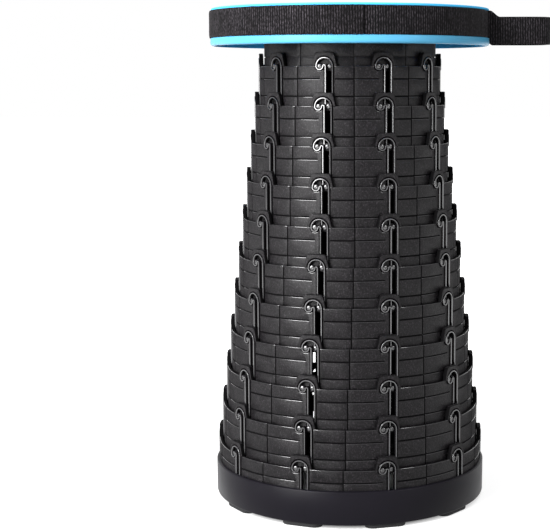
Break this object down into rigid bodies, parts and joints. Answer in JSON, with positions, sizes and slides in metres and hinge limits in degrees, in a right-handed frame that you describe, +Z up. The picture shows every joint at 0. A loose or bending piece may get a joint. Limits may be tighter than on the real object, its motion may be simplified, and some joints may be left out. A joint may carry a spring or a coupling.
{
  "type": "telescopic stool",
  "caption": "Round folding stool: a blue seat with a carrying strap on a tower of nested black rings that slide into the base.",
  "frame": {"origin": "on the floor, on the tower's axis, under the middle of the base", "axes": "+Z up along the tower's axis; +X to the carrying loop, on the right of the picture; -Y to the viewer"},
  "size_m": [0.3081, 0.2522, 0.4417],
  "materials": {
    "base_plastic": "satin",
    "ring_plastic": "satin",
    "seat_plastic": "satin",
    "grip_plastic": "grained",
    "webbing": "ribbed weave",
    "slider_plastic": "smooth",
    "screw_steel": "zinc plated",
    "foot_rubber": "matte"
  },
  "bodies": {
    "base": {"base_ring": "base_plastic", "foot_01": "foot_rubber", "foot_02": "foot_rubber", "foot_03": "foot_rubber", "foot_04": "foot_rubber", "foot_05": "foot_rubber", "foot_06": "foot_rubber", "foot_07": "foot_rubber", "foot_08": "foot_rubber", "foot_09": "foot_rubber", "foot_10": "foot_rubber"},
    "ring_10": {"ring_10": "ring_plastic"},
    "ring_09": {"ring_09": "ring_plastic"},
    "ring_08": {"ring_08": "ring_plastic"},
    "ring_07": {"ring_07": "ring_plastic"},
    "ring_06": {"ring_06": "ring_plastic"},
    "ring_05": {"ring_05": "ring_plastic"},
    "ring_04": {"ring_04": "ring_plastic"},
    "ring_03": {"ring_03": "ring_plastic"},
    "ring_02": {"ring_02": "ring_plastic"},
    "ring_01": {"ring_01": "ring_plastic"},
    "seat": {"seat_lid": "seat_plastic", "top_ring": "ring_plastic", "grip_plate": "grip_plastic", "webbing_strap": "webbing", "strap_overlap": "webbing", "strap_tail": "webbing", "strap_slider": "slider_plastic", "screw_1": "screw_steel", "screw_2": "screw_steel", "screw_3": "screw_steel", "screw_4": "screw_steel", "screw_5": "screw_steel"}
  },
  "joints": [
    {"name": "ring_10_slide", "type": "slide", "parent": "base", "child": "ring_10", "axis": [0, 0, -1], "range_m": [0, 0.034]},
    {"name": "ring_09_slide", "type": "slide", "parent": "ring_10", "child": "ring_09", "axis": [0, 0, -1], "range_m": [0, 0.034]},
    {"name": "ring_08_slide", "type": "slide", "parent": "ring_09", "child": "ring_08", "axis": [0, 0, -1], "range_m": [0, 0.034]},
    {"name": "ring_07_slide", "type": "slide", "parent": "ring_08", "child": "ring_07", "axis": [0, 0, -1], "range_m": [0, 0.034]},
    {"name": "ring_06_slide", "type": "slide", "parent": "ring_07", "child": "ring_06", "axis": [0, 0, -1], "range_m": [0, 0.034]},
    {"name": "ring_05_slide", "type": "slide", "parent": "ring_06", "child": "ring_05", "axis": [0, 0, -1], "range_m": [0, 0.034]},
    {"name": "ring_04_slide", "type": "slide", "parent": "ring_05", "child": "ring_04", "axis": [0, 0, -1], "range_m": [0, 0.034]},
    {"name": "ring_03_slide", "type": "slide", "parent": "ring_04", "child": "ring_03", "axis": [0, 0, -1], "range_m": [0, 0.034]},
    {"name": "ring_02_slide", "type": "slide", "parent": "ring_03", "child": "ring_02", "axis": [0, 0, -1], "range_m": [0, 0.034]},
    {"name": "ring_01_slide", "type": "slide", "parent": "ring_02", "child": "ring_01", "axis": [0, 0, -1], "range_m": [0, 0.034]},
    {"name": "seat_slide", "type": "slide", "parent": "ring_01", "child": "seat", "axis": [0, 0, -1], "range_m": [0, 0.034]}
  ]
}
